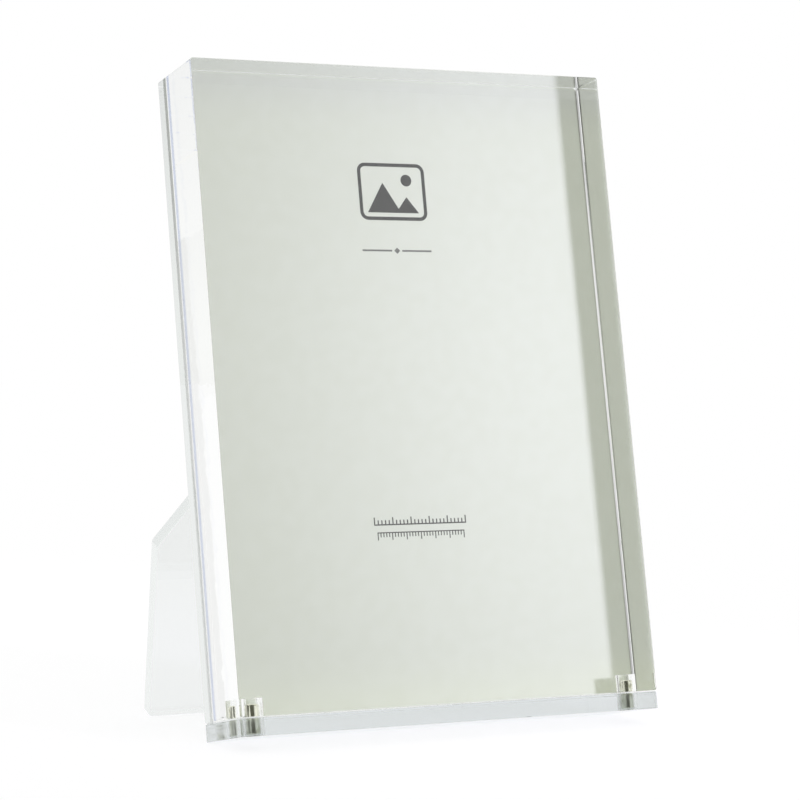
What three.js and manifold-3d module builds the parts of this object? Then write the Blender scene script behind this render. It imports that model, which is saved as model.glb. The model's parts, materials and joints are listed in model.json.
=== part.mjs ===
// An acrylic floating frame for one upright photograph. A thick clear block stands on
// a clear stand and presses the photograph against the stand's back plate. Magnets in
// the bottom corners hold the block in place, and it lifts off to change the picture.
// The stand is three pieces of clear sheet, cemented together: a base bar, a back plate
// that leans back, and a rear leg that slopes forward and is mitred against the plate.
//
// Millimetres, +Z up, the picture faces -Y. The origin is on the ground, in the centre
// of the object's bounding box.

import * as THREE from 'three';
import { mergeVertices } from 'three/addons/utils/BufferGeometryUtils.js';
import Module from 'manifold-3d';

const wasm = await Module();
wasm.setup();

// Driving dimensions of the block and the photograph
const photoWidth = 127;
const photoHeight = 177.8;
const blockThickness = 19.05;
const insertThickness = 0.3;
const insertMargin = 0.4;
const insertCornerRadius = 1.4;

// Driving dimensions of the stand
const barThickness = 4.76;
const backPlateThickness = 4.76;
const legThickness = 4.76;
const leanBack = THREE.MathUtils.degToRad(10.9);
const legLean = THREE.MathUtils.degToRad(20);
const legBondHeight = 100;
const legFootInset = 5;
const legShoulderInset = 0.4;
const legTopInset = 42;
const legShoulderHeight = 53.4;

// Driving dimensions of the magnets and of the holes that they sit in
const magnetDiameter = 6;
const blockMagnetLength = 3.5;
const barMagnetLength = 4;
const magnetSideInset = 6.25;
const magnetSetback = 10.2;
const blockHoleDepth = 5.1;

// Finish of the edges
const polishedEdge = 0.2;
const cornerRadius = 0.7;
const magnetEdge = 0.25;

// Clearances
const slotClearance = 0.3;
const seatGap = 0.3;
const bondGap = 0.3;
const magnetFit = 0.15;
const magnetRecess = 0.05;
const sawAllowance = 2;

// Fineness of the curves
const cornerSegments = 3;
const edgeSegments = 2;
const magnetSegments = 72;

// Places that follow from the sizes, measured in the upright's own directions: Y runs
// back from the stand's rear face, and Z runs up from the bar's underside
const plateFrontY = -backPlateThickness;
const insertBackY = plateFrontY - slotClearance;
const insertFrontY = insertBackY - insertThickness;
const blockBackY = insertFrontY - slotClearance;
const blockFrontY = blockBackY - blockThickness;
const barDepth = -blockFrontY;
const seatZ = barThickness + seatGap;
const magnetX = photoWidth / 2 - magnetSideInset;
const magnetY = blockFrontY + magnetSetback;
const barHoleDepth = barMagnetLength + magnetRecess + magnetFit;

// The leg, the back plate and the ground make a triangle, which gives the distance from
// the bar's rear edge to the leg's foot, and the leg's length
const mitreAngle = leanBack + legLean;
const footReach = legBondHeight * Math.sin(mitreAngle) / Math.cos(legLean);
const legFrontLength = legBondHeight * Math.cos(leanBack) / Math.cos(legLean);
const legRearLength = legFrontLength + legThickness / Math.tan(mitreAngle);
const legBlankLength = legRearLength + sawAllowance;

// Clear polished acrylic. The tint is the faint green-grey of thick cast sheet.
const clearAcrylic = (tint) => new THREE.MeshStandardMaterial({
  color: tint, roughness: 0.04, metalness: 0, transparent: true, opacity: 0.35,
});
const card = new THREE.MeshStandardMaterial({ color: 0xe6e8e2, roughness: 0.85, metalness: 0 });
const nickel = new THREE.MeshStandardMaterial({ color: 0xcfccc0, roughness: 0.18, metalness: 1 });

const meshOf = (name, geometry, material) => {
  const mesh = new THREE.Mesh(geometry, material);
  mesh.name = name;
  return mesh;
};

// A geometry as a solid that can be cut, and a cut solid as a geometry again
const solidOf = (geometry) => {
  const bare = geometry.index ? geometry.toNonIndexed() : geometry.clone();
  bare.deleteAttribute('normal');
  bare.deleteAttribute('uv');
  const merged = mergeVertices(bare);
  return new wasm.Manifold(new wasm.Mesh({
    numProp: 3,
    vertProperties: new Float32Array(merged.attributes.position.array),
    triVerts: new Uint32Array(merged.index.array),
  }));
};

const geometryOf = (solid) => {
  const { vertProperties, triVerts, numProp } = solid.getMesh();
  const geometry = new THREE.BufferGeometry();
  geometry.setAttribute('position', new THREE.BufferAttribute(vertProperties, numProp));
  geometry.setIndex(new THREE.BufferAttribute(triVerts, 1));
  const faceted = geometry.toNonIndexed();
  faceted.computeVertexNormals();
  return faceted;
};

const cut = (geometry, ...cutters) => geometryOf(
  cutters.reduce((solid, cutter) => solid.subtract(solidOf(cutter)), solidOf(geometry)),
);

// An outline through the given corners, each one rounded off
function roundedOutline(corners, radius) {
  const shape = new THREE.Shape();
  corners.forEach((corner, i) => {
    const before = corners[(i + corners.length - 1) % corners.length];
    const after = corners[(i + 1) % corners.length];
    const towards = (end) => end.clone().sub(corner).normalize().multiplyScalar(radius).add(corner);
    const start = towards(before);
    const stop = towards(after);
    if (i === 0) shape.moveTo(start.x, start.y);
    else shape.lineTo(start.x, start.y);
    shape.quadraticCurveTo(corner.x, corner.y, stop.x, stop.y);
  });
  shape.closePath();
  return shape;
}

// A sheet cut to an outline and polished: the outline lies in X and Y, the thickness
// goes up from Z 0, and every edge is eased
function polishedSheet(corners, thickness) {
  return new THREE.ExtrudeGeometry(roundedOutline(corners, cornerRadius), {
    depth: thickness - 2 * polishedEdge,
    bevelThickness: polishedEdge,
    bevelSize: polishedEdge,
    bevelOffset: -polishedEdge,
    bevelSegments: edgeSegments,
    curveSegments: cornerSegments,
  }).translate(0, 0, polishedEdge);
}

const rectangle = (width, height) => [
  new THREE.Vector2(-width / 2, 0),
  new THREE.Vector2(width / 2, 0),
  new THREE.Vector2(width / 2, height),
  new THREE.Vector2(-width / 2, height),
];

// A sheet that stands up: its height along Z, its front face at Y 0 and its back behind it
const standing = (sheet, thickness) => sheet.rotateX(Math.PI / 2).translate(0, thickness, 0);

// A round bar along Z, from one height to another
const roundBar = (radius, from, to) => new THREE.CylinderGeometry(radius, radius, to - from, magnetSegments)
  .rotateX(Math.PI / 2)
  .translate(0, 0, (from + to) / 2);

// A magnet with eased rims, its underside at Z 0
function magnetCylinder(length) {
  const radius = magnetDiameter / 2;
  const profile = [
    new THREE.Vector2(0, 0),
    new THREE.Vector2(radius - magnetEdge, 0),
    new THREE.Vector2(radius, magnetEdge),
    new THREE.Vector2(radius, length - magnetEdge),
    new THREE.Vector2(radius - magnetEdge, length),
    new THREE.Vector2(0, length),
  ];
  return new THREE.LatheGeometry(profile, magnetSegments).rotateX(Math.PI / 2);
}

const holeRadius = magnetDiameter / 2 + magnetFit;
const bothSides = [['left', -magnetX], ['right', magnetX]];

// The thick front block, drilled from below for its two magnets
function frontBlock() {
  const blank = standing(polishedSheet(rectangle(photoWidth, photoHeight), blockThickness), blockThickness);
  const holes = bothSides.map(([, x]) => roundBar(holeRadius, -sawAllowance, blockHoleDepth)
    .translate(x, magnetSetback, 0));
  const mesh = meshOf('front_block', cut(blank, ...holes), clearAcrylic(0xf4f7f4));
  mesh.position.set(0, blockFrontY, seatZ);
  return mesh;
}

// The base bar, drilled from above for its two magnets
function baseBar() {
  const blank = polishedSheet(rectangle(photoWidth, barDepth), barThickness).translate(0, -barDepth, 0);
  const holes = bothSides.map(([, x]) => roundBar(holeRadius, barThickness - barHoleDepth,
    barThickness + sawAllowance).translate(x, magnetY, 0));
  return meshOf('base_bar', cut(blank, ...holes), clearAcrylic(0xe6edee));
}

// The back plate stands on the bar, along its rear edge
function backPlate() {
  const sheet = standing(polishedSheet(rectangle(photoWidth, photoHeight), backPlateThickness),
    backPlateThickness);
  const mesh = meshOf('back_plate', sheet, clearAcrylic(0xeef2f0));
  mesh.position.set(0, plateFrontY, barThickness + bondGap);
  return mesh;
}

// The card insert that the photograph replaces, loose in the slot behind the block. It is
// as tall as the block, a little narrower, and its corners are rounded.
function photoInsert() {
  const outline = roundedOutline(rectangle(photoWidth - 2 * insertMargin, photoHeight), insertCornerRadius);
  const sheet = new THREE.ExtrudeGeometry(outline, {
    depth: insertThickness,
    bevelEnabled: false,
    curveSegments: cornerSegments,
  });
  const mesh = meshOf('photo_insert', standing(sheet, insertThickness), card);
  mesh.position.set(0, insertFrontY, seatZ);
  return mesh;
}

function magnets() {
  const inBlock = bothSides.map(([side, x]) => {
    const mesh = meshOf(`block_magnet_${side}`, magnetCylinder(blockMagnetLength), nickel);
    mesh.position.set(x, magnetY, seatZ + magnetRecess);
    return mesh;
  });
  const inBar = bothSides.map(([side, x]) => {
    const mesh = meshOf(`base_magnet_${side}`, magnetCylinder(barMagnetLength), nickel);
    mesh.position.set(x, magnetY, barThickness - magnetRecess - barMagnetLength);
    return mesh;
  });
  return [...inBlock, ...inBar];
}

// The leg's outline: narrow at the foot, as wide as the frame at the shoulders, and
// drawn in to the short edge that is cemented to the back plate
function legOutline() {
  const half = [
    [photoWidth / 2 - legFootInset, 0],
    [photoWidth / 2 - legShoulderInset, legShoulderHeight],
    [photoWidth / 2 - legTopInset, legBlankLength],
  ];
  const right = half.map(([x, y]) => new THREE.Vector2(x, y));
  const left = half.map(([x, y]) => new THREE.Vector2(-x, y)).reverse();
  return [...right, ...left];
}

// The leg, in its own directions, with its top sawn to lie flat against the back plate
function rearLeg(upright, leg) {
  const blank = standing(polishedSheet(legOutline(), legThickness), legThickness);
  const reach = photoWidth + photoHeight;
  const saw = new THREE.BoxGeometry(reach, reach, 2 * reach).translate(0, bondGap - reach / 2, 0);
  const toLeg = leg.matrix.clone().invert().multiply(upright.matrix);
  return meshOf('rear_leg', cut(blank, saw.applyMatrix4(toLeg)), clearAcrylic(0xf0f2f2));
}

// The upright turns about the bar's rear bottom edge, and the leg about its foot
const upright = new THREE.Group();
upright.rotation.x = -leanBack;
upright.updateMatrix();
upright.add(baseBar(), backPlate(), photoInsert(), frontBlock(), ...magnets());

const leg = new THREE.Group();
leg.position.y = footReach;
leg.rotation.x = legLean;
leg.updateMatrix();
leg.add(rearLeg(upright, leg));

const floatingFrame = new THREE.Group();
floatingFrame.add(upright, leg);

// The whole is moved so that its bounding box stands centred on the origin
floatingFrame.updateMatrixWorld(true);
const bounds = new THREE.Box3().setFromObject(floatingFrame, true);
const centre = bounds.getCenter(new THREE.Vector3());
floatingFrame.position.set(-centre.x, -centre.y, -bounds.min.z);
floatingFrame.updateMatrixWorld(true);

export default floatingFrame;
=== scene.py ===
# %% [markdown]
# # An acrylic floating frame
# The frame is a thick clear block that stands on a clear stand, with a card in the slot
# between the block and the stand's back plate. Every rigid piece comes from the packed
# model. This script gives the pieces their finish, adds the cement in the stand's two
# joints and the printing on the card, and sets up the camera, the light and the floor.

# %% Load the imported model
import json
import math

import bmesh
import bpy
from mathutils import Matrix, Vector


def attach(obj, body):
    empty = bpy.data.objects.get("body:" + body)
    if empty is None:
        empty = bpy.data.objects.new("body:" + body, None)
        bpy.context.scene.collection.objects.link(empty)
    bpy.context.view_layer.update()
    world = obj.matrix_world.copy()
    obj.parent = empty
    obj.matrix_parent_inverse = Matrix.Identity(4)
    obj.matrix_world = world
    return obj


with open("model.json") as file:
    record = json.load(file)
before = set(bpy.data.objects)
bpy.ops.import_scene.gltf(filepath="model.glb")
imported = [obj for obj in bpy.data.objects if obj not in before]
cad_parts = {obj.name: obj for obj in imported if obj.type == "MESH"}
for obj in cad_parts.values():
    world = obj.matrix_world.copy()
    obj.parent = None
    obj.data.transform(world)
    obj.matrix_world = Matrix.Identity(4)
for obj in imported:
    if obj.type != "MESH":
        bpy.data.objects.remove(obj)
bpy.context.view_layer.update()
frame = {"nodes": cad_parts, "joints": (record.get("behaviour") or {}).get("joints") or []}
nodes = frame["nodes"]
mm = 0.001
print("nodes:", sorted(nodes))

# %% [markdown]
# The frame leans back, so its own directions are handier than the ground's. The block
# lifts along the joint's axis, which is up along the picture. Right is +X, and the
# third direction runs back through the block. A piece can be measured along any of them.

# %% The directions of the leaning frame
lift = next(joint for joint in frame["joints"] if joint["name"] == "block_lift")
right = Vector((1, 0, 0))
up = Vector(lift["axis"]).normalized()
back = up.cross(right)
turn = Matrix((right, back, up)).transposed().to_4x4()


def span(name, direction):
    """The least and the greatest place of a node's points along a direction."""
    places = [vertex.co.dot(direction) for vertex in nodes[name].data.vertices]
    return min(places), max(places)


def middle(name):
    """The middle of a node, measured along the frame's own directions."""
    return sum((way * sum(span(name, way)) / 2 for way in (right, back, up)), Vector())


block_front, block_rear = span("front_block", back)
block_foot, block_top = span("front_block", up)
print("lean", round(math.degrees(math.asin(up.y)), 2), "degrees")
print("block is", round((block_rear - block_front) / mm, 2), "mm thick")

# %% [markdown]
# The camera stands a little to the left and level with the middle of the picture. Its
# place was found by fitting the corners of the block, at their real size, to the corners
# in the photograph. A long lens keeps the upright edges nearly parallel.

# %% Camera
scene = bpy.context.scene
camera = bpy.data.objects.new("camera", bpy.data.cameras.new("camera"))
scene.collection.objects.link(camera)
camera.location = (-0.3397, -0.6892, 0.1066)
camera.rotation_euler = (math.radians(90 - 1.17), 0, math.radians(-26.45))
camera.data.sensor_width = 36
camera.data.lens = 122.08
camera.data.clip_start = 0.01
scene.camera = camera

# %% [markdown]
# Shader maths is easier to read as sums than as a web of nodes. A Wire is one output of
# a node, and adding, taking away or multiplying wires makes the Math nodes. Nodes makes
# every other kind of node from its type, its settings and what goes into its sockets.


# %% A way to write shader nodes
class Wire:
    """One output of a shader node, for use in expressions."""

    def __init__(self, nodes, socket):
        self.nodes, self.socket = nodes, socket

    def math(self, operation, *values):
        """A Math node on numbers and wires."""
        return self.nodes.add("ShaderNodeMath", {"operation": operation}, dict(enumerate(values)))

    def __add__(self, other):
        return self.math("ADD", self, other)

    def __sub__(self, other):
        return self.math("SUBTRACT", self, other)

    def __rsub__(self, other):
        return self.math("SUBTRACT", other, self)

    def __mul__(self, other):
        return self.math("MULTIPLY", self, other)

    def __gt__(self, other):
        return self.math("GREATER_THAN", self, other)

    def __lt__(self, other):
        return self.math("LESS_THAN", self, other)

    def __abs__(self):
        return self.math("ABSOLUTE", self)

    __radd__, __rmul__ = __add__, __mul__


class Nodes:
    """The node tree of a material or of the world, emptied and ready to fill."""

    def __init__(self, owner):
        owner.use_nodes = True
        self.tree = owner.node_tree
        self.tree.nodes.clear()

    def add(self, kind, settings=None, inputs=None, output=0):
        """Any node: its type, its settings, the values or wires of its sockets, and its output."""
        node = self.tree.nodes.new(kind)
        for name, value in (settings or {}).items():
            setattr(node, name, value)
        for name, value in (inputs or {}).items():
            if isinstance(value, Wire):
                self.tree.links.new(value.socket, node.inputs[name])
            else:
                node.inputs[name].default_value = value
        return Wire(self, node.outputs[output]) if len(node.outputs) else node

    def mix(self, factor, first, second):
        """The first colour where the factor is 0, and the second where it is 1."""
        return self.add("ShaderNodeMix", {"data_type": "RGBA"}, {0: factor, 6: first, 7: second}, 2)

    def blend(self, factor, first, second):
        """The first shader where the factor is 0, and the second where it is 1."""
        return self.add("ShaderNodeMixShader", inputs={0: factor, 1: first, 2: second})

    def vector(self, operation, *values, output="Vector"):
        inputs = dict(enumerate(values))
        return self.add("ShaderNodeVectorMath", {"operation": operation}, inputs, output)

    def dot(self, first, second):
        return self.vector("DOT_PRODUCT", first, second, output="Value")

    def ease(self, value, start, stop):
        """0 up to the start and 1 from the stop on, with a smooth rise between them."""
        sizes = {"Value": value, "From Min": start, "From Max": stop}
        return self.add("ShaderNodeMapRange", {"interpolation_type": "SMOOTHSTEP"}, sizes)

    def noise(self, place, scale, detail=2.0):
        inputs = {"Vector": place, "Scale": scale, "Detail": detail}
        return self.add("ShaderNodeTexNoise", inputs=inputs)

    def bump(self, height):
        """A surface that stands up by a height in metres."""
        return self.add("ShaderNodeBump", inputs={"Height": height, "Strength": 1, "Distance": 1})

    def finish(self, surface):
        """Ends the tree with its output."""
        whole_world = self.tree == scene.world.node_tree
        kind = "ShaderNodeOutputWorld" if whole_world else "ShaderNodeOutputMaterial"
        self.add(kind, inputs={"Surface": surface})


def opaque(colour):
    """A colour with an alpha of 1, as sockets want it."""
    return (*colour, 1)


# %% [markdown]
# A studio lights a clear object mostly with white cards, so that every face has
# something bright to bend or mirror. Here the world is that white surround. It is plain
# white to the camera, and through glass and in metal, and dimmer where it lights matt
# surfaces, so that they keep their colour.

# %% White surround
ambient = (0.637, 0.648, 0.55)
surround = bpy.data.worlds.new("surround")
scene.world = surround
surround.cycles.sampling_method = "NONE"


def seen_directly(tree):
    """1 for rays from the camera, also through glass or off a mirror, and 0 for other light."""
    path = {name: tree.add("ShaderNodeLightPath", output=name)
            for name in ("Is Camera Ray", "Is Glossy Ray", "Is Transmission Ray", "Diffuse Depth")}
    kinds = path["Is Camera Ray"] + path["Is Glossy Ray"] + path["Is Transmission Ray"]
    return (kinds > 0.5) * (path["Diffuse Depth"] < 0.5)


def mirrored(tree):
    """1 for rays that a mirror or a face of the glass has thrown back on their way."""
    return tree.add("ShaderNodeLightPath", output="Glossy Depth") > 0.5


# %% [markdown]
# What a mirror shows is less even. The cards leave an opening for the camera, which gives
# the round magnets the dark stripe down their middle, and the card on the left is lit only
# about the height of the object. Rays that have been mirrored on their way see this room,
# and the others plain white.

# %% The room, for mirrored rays
opening_way = Vector((-0.36, -0.93, 0.02)).normalized()
opening_core, opening_edge = math.cos(math.radians(31)), math.cos(math.radians(46))
opening_dark = (0.055, 0.058, 0.03)
left_way = Vector((-0.8, 0.6, 0))
left_core, left_edge = math.cos(math.radians(40)), math.cos(math.radians(75))
card_lit, card_dim = (0.83, 0.84, 0.8), (0.34, 0.35, 0.35)
card_height = 0.12
tree = Nodes(surround)
direction = tree.add("ShaderNodeTexCoord", output="Generated")
opening = tree.ease(tree.dot(direction, opening_way), opening_edge, opening_core)
left_card = tree.ease(tree.dot(direction, left_way), left_edge, left_core)
off_level = tree.ease(abs(tree.dot(direction, (0, 0, 1))), 0, card_height)
card_light = tree.mix(off_level, opaque(card_lit), opaque(card_dim))
room = tree.mix(left_card, opaque((1, 1, 1)), card_light)
room = tree.mix(opening, room, opaque(opening_dark))
room = tree.mix(mirrored(tree), opaque((1, 1, 1)), room)
sky = tree.mix(seen_directly(tree), opaque(ambient), room)
tree.finish(tree.add("ShaderNodeBackground", inputs={"Color": sky, "Strength": 1}))

# %% [markdown]
# The key lamp stands in front and to the right. Light that enters the block's front face
# reaches the card shifted to the left, and the polished right side stops the rest, which
# leaves the card's right edge darker. The lamp is dimmer towards the left, and its beam
# is taller than it is wide.

# %% Key lamp
key_turn = math.radians(19.5)
key_distance = 1.5
key_height = 1.4
aim_right, aim_above = 75 * mm, 10 * mm
key_aim = right * aim_right + back * block_rear + up * ((block_foot + block_top) / 2 + aim_above)
key_from = right * math.sin(key_turn) - back * math.cos(key_turn)
key = bpy.data.objects.new("key", bpy.data.lights.new("key", "SPOT"))
scene.collection.objects.link(key)
key.location = key_aim + key_from * key_distance
key.rotation_euler = (-key_from).to_track_quat("-Z", "Y").to_euler()
key.scale = (1, key_height, 1)
key.data.energy = 44
key.data.color = (1.02, 0.97, 1.16)
key.data.spot_size = math.radians(13)
key.data.spot_blend = 1
key.data.shadow_soft_size = 0.1
key.visible_camera = False
key.visible_glossy = False
key.visible_transmission = False

# %% [markdown]
# The floor is plain white paper. A matt surface under this light would be grey, so
# what it lacks to white is added for the camera, and the shadow still shows. The paper's
# own colour is the reverse of the light's, which keeps the shadow neutral. The paper
# also throws a part of the studio's light back up at the object.

# %% Floor
floor_level = 0.22
floor_bounce = 0.32
floor_size = 6
floor_paper = [floor_level / level for level in ambient]
mesh = bpy.data.meshes.new("floor")
floor = bpy.data.objects.new("floor", mesh)
scene.collection.objects.link(floor)
bm = bmesh.new()
bmesh.ops.create_grid(bm, x_segments=1, y_segments=1, size=floor_size)
bm.to_mesh(mesh)
bm.free()
paper = bpy.data.materials.new("floor_paper")
tree = Nodes(paper)
matt = tree.add("ShaderNodeBsdfDiffuse", inputs={"Color": opaque(floor_paper)})
lacking = opaque([1 - floor_level] * 3)
share = seen_directly(tree) * (1 - floor_bounce) + floor_bounce
added = tree.mix(share, opaque((0, 0, 0)), lacking)
glow = tree.add("ShaderNodeEmission", inputs={"Color": added, "Strength": 1})
tree.finish(tree.add("ShaderNodeAddShader", inputs={0: matt, 1: glow}))
mesh.materials.append(paper)

# %% [markdown]
# Clear acrylic bends light with an index of 1.49. A polished face is smooth as glass, but
# not bare: handling leaves hairline scratches, and the narrow edges keep a slight ripple
# from the saw under their flame polish. The bottom of a drilled hole and its wall are
# frosted by the drill. All of this is roughness and bump on one glass shader.


# %% The surface of acrylic
acrylic_ior = 1.49
squarely = 0.7
hairline_scale = 55
hairline_turn, hairline_stretch = (0.2, 0.5, 0.4), (1, 12, 60)
hairline_cover, hairline_blur = 0.7, 0.04
hairline_roughness = 0.008
ripple_scale = 160
ripple_depth = 0.02 * mm
drilled_radius = 3.3 * mm
drilled_below, drilled_above = -2.5 * mm, 3.5 * mm
end_roughness = 0.45
satin_roughness = 0.1
satin_scale = 1100
drill_pitch = 0.35 * mm
ring_depth = 0.002 * mm


def facing(tree, way):
    """How squarely the surface faces a direction, on either side of it: 1 is square on."""
    normal = tree.add("ShaderNodeNewGeometry", output="Normal")
    return abs(tree.dot(normal, way))


def hairlines(tree, place):
    """1 in a few fine scratches that cross the sheet, and 0 elsewhere."""
    turned = tree.add("ShaderNodeMapping", inputs={
        "Vector": place, "Rotation": hairline_turn, "Scale": hairline_stretch,
    })
    lines = tree.noise(turned, hairline_scale)
    return tree.ease(lines, hairline_cover, hairline_cover + hairline_blur)


def drilled(tree, place, name):
    """1 on the wall and the end of the hole that holds a magnet, and 0 elsewhere."""
    offset = tree.vector("SUBTRACT", place, middle(name))
    off_axis = tree.vector("LENGTH", tree.vector("CROSS_PRODUCT", offset, up), output="Value")
    along = tree.dot(offset, up)
    return (off_axis < drilled_radius) * (along > drilled_below) * (along < drilled_above)


def acrylic_surface(tree, place, holes, wall_roughness, satin_ends):
    """The roughness of a piece of acrylic and its bumped normal."""
    edge = facing(tree, back) < squarely
    ripple = tree.noise(place, ripple_scale) * edge * ripple_depth
    roughness = hairlines(tree, place) * (1 - edge) * hairline_roughness
    if satin_ends:
        mottle = tree.ease(tree.noise(place, satin_scale, 4.0), 0.3, 0.7)
        end = facing(tree, right) > squarely
        roughness = roughness + end * (mottle + 0.5) * satin_roughness
    for hole in holes:
        angle = tree.dot(place, up) * (math.tau / drill_pitch)
        ripple = ripple + angle.math("SINE", angle) * hole * ring_depth
        roughness = roughness + hole * (facing(tree, up) * end_roughness + wall_roughness)
    return roughness, tree.bump(ripple)


# %% [markdown]
# The plate's upright front edges, where the picture slot opens at the sides, carry a
# thin grey line of painted shade from the slot, fainter low down, and are roughened there
# as by dust. The block's sides carry a faint bluish line, a little way in front of the
# slot, which is a painted reflection of the slot. Its right rear edge carries painted
# shade, most of all at the foot and the top.


# %% Painted shade, dust and a painted reflection at the mouth of the slot
slot_line_width, slot_line_depth = 0.5 * mm, 1.2 * mm
slot_shade_colour, dust_roughness = (0.2, 0.215, 0.19), 0.4
slot_line_least, slot_line_foot = 0.5, 0.2
reflection_width = 0.1 * mm
reflection_start, reflection_end, reflection_blur = 0.5 * mm, 2.8 * mm, 0.7 * mm
reflection_colour = (0.42, 0.48, 0.68)
rim_width, rim_depth = 0.65 * mm, 0.25 * mm
rim_shade_colour = (0.25, 0.255, 0.25)
rim_least, rim_foot, rim_top = 0.35, 0.6, 0.7
block_height = block_top - block_foot


def slot_shade_and_dust(tree, place):
    """How much painted shade and dust lie on the plate: up to 1 along its upright front edges."""
    front = span("back_plate", back)[0]
    side = span("back_plate", right)[1] - slot_line_width
    into = tree.ease(tree.dot(place, back), front + slot_line_depth / 3, front + slot_line_depth)
    mouth = (abs(tree.dot(place, right)) > side) * (1 - into)
    rising = tree.ease(tree.dot(place, up), block_foot + slot_line_foot * block_height, block_top)
    return mouth * (rising * (1 - slot_line_least) + slot_line_least)


def painted_slot_reflection(tree, place):
    """How much painted reflection of the slot lies on the block: up to 1 along a line on its sides,
    near the slot.
    """
    side = span("front_block", right)[1] - reflection_width
    before = block_rear - tree.dot(place, back)
    line = tree.ease(before, reflection_start, reflection_start + reflection_blur)
    line = line * (1 - tree.ease(before, reflection_end - reflection_blur, reflection_end))
    return (abs(tree.dot(place, right)) > side) * line


def painted_rim_shade(tree, place):
    """How much painted shade lies on the block's right rear edge: up to 1 at its foot and its top."""
    edge = tree.dot(place, right) > span("front_block", right)[1] - rim_width
    rear = tree.dot(place, back) > block_rear - rim_depth
    height = tree.dot(place, up)
    foot = 1 - tree.ease(height, block_foot, block_foot + rim_foot * block_height)
    top = tree.ease(height, block_foot + rim_top * block_height, block_top)
    return edge * rear * ((foot + top) * (1 - rim_least) + rim_least)


# %% [markdown]
# Light that enters by an edge can run round inside a sheet for hundreds of turns. The
# render can't follow it so far, and real light is evened out on such a way, so after some
# turns it takes the even tone that the photograph shows in the edges. Rays from the lamp
# pass straight through the broad faces, which spares the render its noise, but not
# through the edges of the block, because these turn such light aside.

# %% Clear acrylic
longest_path = 13


def dress(name, material):
    """Puts a material on a node."""
    nodes[name].material_slots[0].material = material


def clear_acrylic(name, tint, edge_tone, magnets=(), wall_roughness=0, edges_stop=False,
                  satin_ends=False, shaded_and_dusty=False, reflected_and_shaded=False):
    material = bpy.data.materials.new(name)
    tree = Nodes(material)
    place = tree.add("ShaderNodeTexCoord", output="Object")
    holes = [drilled(tree, place, magnet) for magnet in magnets]
    roughness, bump = acrylic_surface(tree, place, holes, wall_roughness, satin_ends)
    colour = opaque(tint)
    if shaded_and_dusty:
        shade_and_dust = slot_shade_and_dust(tree, place)
        # The grey line along the plate's slot edges is painted shade; the added roughness stands for
        # dust.
        colour = tree.mix(shade_and_dust, opaque(tint), opaque(slot_shade_colour))
        roughness = roughness + shade_and_dust * dust_roughness
    if reflected_and_shaded:
        # A faint bluish line on the block's sides: a painted reflection of the slot.
        colour = tree.mix(painted_slot_reflection(tree, place), colour, opaque(reflection_colour))
        # Painted shade on the block's right rear edge, strongest at the foot and the top.
        colour = tree.mix(painted_rim_shade(tree, place), colour, opaque(rim_shade_colour))
    glass = tree.add("ShaderNodeBsdfPrincipled", inputs={
        "Base Color": colour, "Roughness": roughness, "IOR": acrylic_ior,
        "Transmission Weight": 1.0, "Normal": bump,
    })
    clear = tree.add("ShaderNodeBsdfTransparent", inputs={"Color": opaque(tint)})
    lamp_ray = tree.add("ShaderNodeLightPath", output="Is Shadow Ray")
    surface = tree.blend(lamp_ray, glass, clear)
    if edges_stop:
        broad = facing(tree, back) > squarely
        for hole in holes:
            broad = broad * (1 - hole)
        surface = tree.blend(broad, glass, surface)
    # Rays that run on too long end in a glow of the edge tone: painted light in place of the light they
    # would bring.
    glow = tree.add("ShaderNodeEmission", inputs={"Color": opaque(edge_tone), "Strength": 1})
    too_long = tree.add("ShaderNodeLightPath", output="Ray Depth") > longest_path
    tree.finish(tree.blend(too_long, surface, glow))
    return material


block_magnets = ("block_magnet_left", "block_magnet_right")
base_magnets = ("base_magnet_left", "base_magnet_right")
dress("front_block", clear_acrylic("block_acrylic", (0.985, 0.992, 0.985), (1, 1, 0.98),
                                   block_magnets, wall_roughness=0.06, edges_stop=True, reflected_and_shaded=True))
# The bar's grey tint is painted shade: it darkens the bar to the grey that its shaded surroundings give
# through it.
dress("base_bar", clear_acrylic("bar_acrylic", (0.73, 0.76, 0.76), (0.66, 0.69, 0.68),
                               base_magnets, wall_roughness=0.3, satin_ends=True))
dress("back_plate", clear_acrylic("plate_acrylic", (0.96, 0.97, 0.965), (0.83, 0.85, 0.84), shaded_and_dusty=True))
# The leg's grey tint is painted shade in the same way, lighter than the bar's.
dress("rear_leg", clear_acrylic("leg_acrylic", (0.875, 0.89, 0.885), (0.9, 0.92, 0.91)))

# %% [markdown]
# The insert is uncoated white card. Its fibres give it a faint mottle and a soft tooth
# that is only seen close to. A grey band along its upright cut edges is painted shade
# from the slot, strongest at the top.

# %% Card
card_white = (0.83, 0.855, 0.81)
card_mottled = (0.815, 0.84, 0.79)
edge_shade_grey, edge_width = (0.25, 0.26, 0.22), 0.7 * mm
edge_least, edge_most, edge_rise = 0.25, 0.8, 0.65
mottle_scale = 260
tooth_scale, tooth_height = 4200, 0.015 * mm
wave_scale, wave_height = 700, 0.02 * mm
card = bpy.data.materials.new("insert_card")
tree = Nodes(card)
place = tree.add("ShaderNodeTexCoord", output="Object")
mottle = tree.ease(tree.noise(place, mottle_scale, 5.0), 0.35, 0.65)
tooth = tree.noise(place, tooth_scale, 3.0) * tooth_height + tree.noise(place, wave_scale) * wave_height
edge = span("photo_insert", right)[1]
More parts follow.
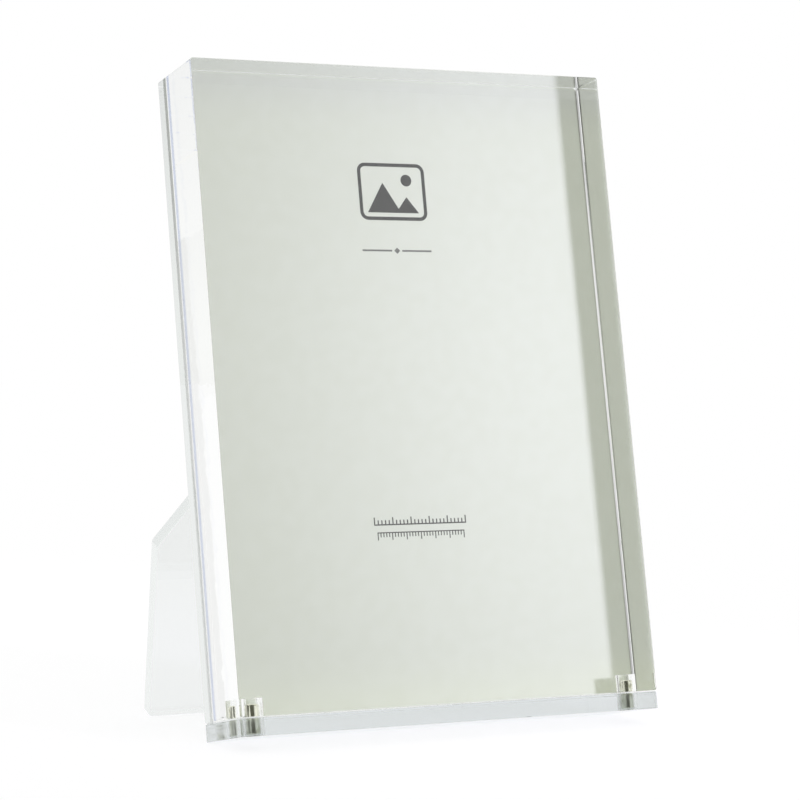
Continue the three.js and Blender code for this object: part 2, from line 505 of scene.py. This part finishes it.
# Painted shade along the card's upright edges, stronger towards the top.
edge_shade = tree.ease(abs(tree.dot(place, right)), edge - edge_width, edge)
toward_top = tree.ease(tree.dot(place, up), block_foot + edge_rise * block_height, block_top)
edge_shade = edge_shade * (toward_top * (edge_most - edge_least) + edge_least)
colour = tree.mix(mottle, opaque(card_white), opaque(card_mottled))
colour = tree.mix(edge_shade, colour, opaque(edge_shade_grey))
tree.finish(tree.add("ShaderNodeBsdfPrincipled", inputs={
    "Base Color": colour, "Roughness": 0.85, "Specular IOR Level": 0.2, "Normal": tree.bump(tooth),
}))
dress("photo_insert", card)

# %% [markdown]
# The magnets are nickel plated. The plating is bright but not a mirror: the pressed
# metal under it leaves fine streaks along the magnet and a few dull patches.

# %% Nickel
nickel_bright = (0.84, 0.84, 0.72)
nickel_dull = (0.44, 0.45, 0.31)
streak_scale, streak_stretch, streak_height = 2600, (1, 1, 0.08), 0.02 * mm
patch_scale = 520
nickel = bpy.data.materials.new("magnet_nickel")
tree = Nodes(nickel)
place = tree.add("ShaderNodeTexCoord", output="Object")
along = tree.add("ShaderNodeMapping", inputs={"Vector": place, "Scale": streak_stretch})
streaks = tree.noise(along, streak_scale, 3.0)
patches = tree.ease(tree.noise(place, patch_scale, 3.0), 0.45, 0.7)
tree.finish(tree.add("ShaderNodeBsdfPrincipled", inputs={
    "Base Color": tree.mix(patches, opaque(nickel_bright), opaque(nickel_dull)),
    "Roughness": 0.05 + patches * 0.12 + streaks * 0.05, "Metallic": 1.0,
    "Normal": tree.bump(streaks * streak_height),
}))
for name in block_magnets + base_magnets:
    dress(name, nickel)

# %% [markdown]
# The stand is cemented: the plate onto the bar, and the leg against the plate. Cement
# for acrylic is a thin clear film with a few bubbles, which looks a little milky. Each
# film is grown from the face that it holds, so it has that face's exact outline.


# %% Cement in the joints of the stand
cement_thickness = 0.26 * mm
cement_clearance = 0.02 * mm
same_plane = 0.02 * mm
cement_colour = (0.95, 0.96, 0.955)
bubble_scale, bubble_core, bubble_edge = 900, 0.12, 0.2


def new_piece(name, bm, material, body):
    """Makes a finished bmesh an object that rides on a body."""
    bmesh.ops.recalc_face_normals(bm, faces=bm.faces)
    mesh = bpy.data.meshes.new(name)
    bm.to_mesh(mesh)
    bm.free()
    mesh.materials.append(material)
    piece = bpy.data.objects.new(name, mesh)
    scene.collection.objects.link(piece)
    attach(piece, body)
    print(name, "has", len(mesh.polygons), "faces")


def cement_film(name, held, way, material):
    """A film on the face of a node that looks along a way, filling the joint before it."""
    reach = span(held, way)[1]
    bm = bmesh.new()
    bm.from_mesh(nodes[held].data)
    bmesh.ops.remove_doubles(bm, verts=bm.verts, dist=same_plane / 10)
    others = [face for face in bm.faces
              if min(vertex.co.dot(way) for vertex in face.verts) < reach - same_plane]
    bmesh.ops.delete(bm, geom=others, context="FACES")
    bmesh.ops.dissolve_limit(bm, angle_limit=math.radians(1), verts=bm.verts, edges=bm.edges)
    bmesh.ops.translate(bm, verts=bm.verts, vec=way * cement_clearance)
    grown = bmesh.ops.extrude_face_region(bm, geom=bm.faces[:] + bm.edges[:] + bm.verts[:])
    moved = [item for item in grown["geom"] if isinstance(item, bmesh.types.BMVert)]
    bmesh.ops.translate(bm, verts=moved, vec=way * cement_thickness)
    new_piece(name, bm, material, "stand")


cement = bpy.data.materials.new("acrylic_cement")
tree = Nodes(cement)
place = tree.add("ShaderNodeTexCoord", output="Object")
bubbles = tree.add("ShaderNodeTexVoronoi", inputs={"Vector": place, "Scale": bubble_scale},
                   output="Distance")
bubble = 1 - tree.ease(bubbles, bubble_core, bubble_edge)
tree.finish(tree.add("ShaderNodeBsdfPrincipled", inputs={
    "Base Color": opaque(cement_colour), "Roughness": 0.25 + bubble * 0.5, "IOR": acrylic_ior,
    "Transmission Weight": 1.0,
}))
cement_film("plate_cement", "back_plate", -up, cement)
cement_film("leg_cement", "rear_leg", -back, cement)

# %% [markdown]
# The card carries plain printing: a small picture sign, a rule with a diamond in its
# middle, and a double measuring scale, all without words. Each mark is a thin layer of
# ink on the card's face, drawn flat in millimetres from the card's lower middle, with X
# to the right and Y up, then given its thickness and laid on the card.

# %% Ink
ink_thickness = 0.03 * mm
ink_overlap = 0.005 * mm
ink_scale = 3000
card_front = span("photo_insert", back)[0]
card_foot = span("photo_insert", up)[0]
card_origin = back * (card_front + ink_overlap) + up * card_foot
laid = Matrix.Translation(card_origin) @ turn @ Matrix.Rotation(math.pi / 2, 4, "X")


def printed(name, bm, material):
    """Turns flat faces in millimetres into a layer of ink on the card."""
    bmesh.ops.remove_doubles(bm, verts=bm.verts, dist=0.001)
    bmesh.ops.recalc_face_normals(bm, faces=bm.faces)
    grown = bmesh.ops.extrude_face_region(bm, geom=bm.faces[:])
    moved = [item for item in grown["geom"] if isinstance(item, bmesh.types.BMVert)]
    bmesh.ops.translate(bm, verts=moved, vec=(0, 0, ink_thickness / mm))
    bmesh.ops.scale(bm, verts=bm.verts, vec=(mm, mm, mm))
    bmesh.ops.transform(bm, verts=bm.verts, matrix=laid)
    new_piece(name, bm, material, "insert")


def ink(name, colour, thin):
    """Printing ink, which lets a little of the card through where it lies thin."""
    material = bpy.data.materials.new(name)
    tree = Nodes(material)
    place = tree.add("ShaderNodeTexCoord", output="Object")
    cover = tree.ease(tree.noise(place, ink_scale, 3.0), 0.35, 0.7)
    tree.finish(tree.add("ShaderNodeBsdfPrincipled", inputs={
        "Base Color": tree.mix(cover, opaque(colour), opaque(thin)),
        "Roughness": 0.55 + cover * 0.2,
    }))
    return material


dark_ink = ink("dark_ink", (0.045, 0.046, 0.047), (0.075, 0.077, 0.075))
grey_ink = ink("grey_ink", (0.16, 0.163, 0.16), (0.22, 0.225, 0.22))

# %% [markdown]
# The shapes of the printing are few: a flat bar, a disc, a diamond and a frame with round
# corners. The picture sign is a frame round a sun and two peaks.


# %% Flat shapes for printing
def flat_bar(bm, x, y, width, height):
    """A bar about a place."""
    size = Matrix.Translation((x, y, 0)) @ Matrix.Diagonal((width, height, 1, 1))
    bmesh.ops.create_grid(bm, x_segments=1, y_segments=1, size=0.5, matrix=size)


def flat_disc(bm, x, y, radius, sides):
    """A disc about a place, or with four sides a diamond."""
    centre = Matrix.Translation((x, y, 0))
    bmesh.ops.create_circle(bm, cap_ends=True, segments=sides, radius=radius, matrix=centre)


def flat_peak(bm, x, foot, half_width, height):
    """A pointed hill that stands on a line."""
    corners = [(x - half_width, foot, 0), (x + half_width, foot, 0), (x, foot + height, 0)]
    bm.faces.new([bm.verts.new(corner) for corner in corners])


def flat_frame(bm, x, y, width, height, stroke, radius):
    """A frame with rounded outer corners."""
    sheet = bmesh.new()
    flat_bar(sheet, x, y, width, height)
    bmesh.ops.bevel(sheet, geom=sheet.verts[:], offset=radius, segments=6, profile=0.5,
                    affect="VERTICES", material=-1)
    inset = bmesh.ops.inset_region(sheet, faces=sheet.faces[:], thickness=stroke, use_boundary=True,
                                   use_even_offset=True)
    inner = [face for face in sheet.faces if face not in inset["faces"]]
    bmesh.ops.delete(sheet, geom=inner, context="FACES")
    drawn = bpy.data.meshes.new("frame_outline")
    sheet.to_mesh(drawn)
    sheet.free()
    bm.from_mesh(drawn)
    bpy.data.meshes.remove(drawn)


# %% The picture sign
sign_width, sign_height, sign_stroke = 21, 16.5, 1.0
sign_y, sign_corner = 145, 2.4
sun_x, sun_rise, sun_radius = 4.6, 3.4, 1.7
bm = bmesh.new()
flat_frame(bm, 0, sign_y, sign_width, sign_height, sign_stroke, sign_corner)
flat_disc(bm, sun_x, sign_y + sun_rise, sun_radius, 32)
printed("picture_sign", bm, dark_ink)
bm = bmesh.new()
sign_foot = sign_y - sign_height / 2 + 2.2
flat_peak(bm, -2.9, sign_foot, 5.2, 8.6)
printed("picture_sign_high_peak", bm, dark_ink)
bm = bmesh.new()
flat_peak(bm, 4.3, sign_foot, 3.6, 4.6)
printed("picture_sign_low_peak", bm, dark_ink)

# %% The rule with a diamond
rule_y, rule_half, rule_gap, rule_stroke = 128, 10.8, 1.6, 0.5
diamond_radius = 0.9
bm = bmesh.new()
flat_disc(bm, 0, rule_y, diamond_radius, 4)
for side in (-1, 1):
    flat_bar(bm, side * (rule_half + rule_gap) / 2, rule_y, rule_half - rule_gap, rule_stroke)
printed("divider_rule", bm, grey_ink)

# %% [markdown]
# The double scale has long and short strokes, like a ruler for two measures. The strokes
# stand on a base line, and a short gap is left between the upper and the lower row.

# %% The double scale
long_stroke, short_stroke, long_every = 1.9, 1.1, 5
stroke_overlap = 0.01


def scale_row(name, y, width, steps, stroke, grow):
    """A row of strokes on a line: every fifth is long. The strokes grow up or down."""
    bm = bmesh.new()
    flat_bar(bm, 0, y, width, stroke)
    for step in range(steps + 1):
        length = long_stroke if step % long_every == 0 else short_stroke
        x = (step / steps - 0.5) * (width - stroke)
        flat_bar(bm, x, y + grow * ((stroke + length) / 2 - stroke_overlap), stroke, length)
    printed(name, bm, dark_ink)


scale_row("upper_scale", 50.6, 28.5, 25, 0.34, 1)
scale_row("lower_scale", 48.4, 26.9, 30, 0.28, -1)

# %% Picture settings
scene.view_settings.view_transform = "Standard"
scene.cycles.max_bounces = 24
scene.cycles.transmission_bounces = 24
scene.cycles.glossy_bounces = 24
scene.cycles.diffuse_bounces = 4
scene.cycles.transparent_max_bounces = 24
scene.cycles.blur_glossy = 0
scene.cycles.use_denoising = True
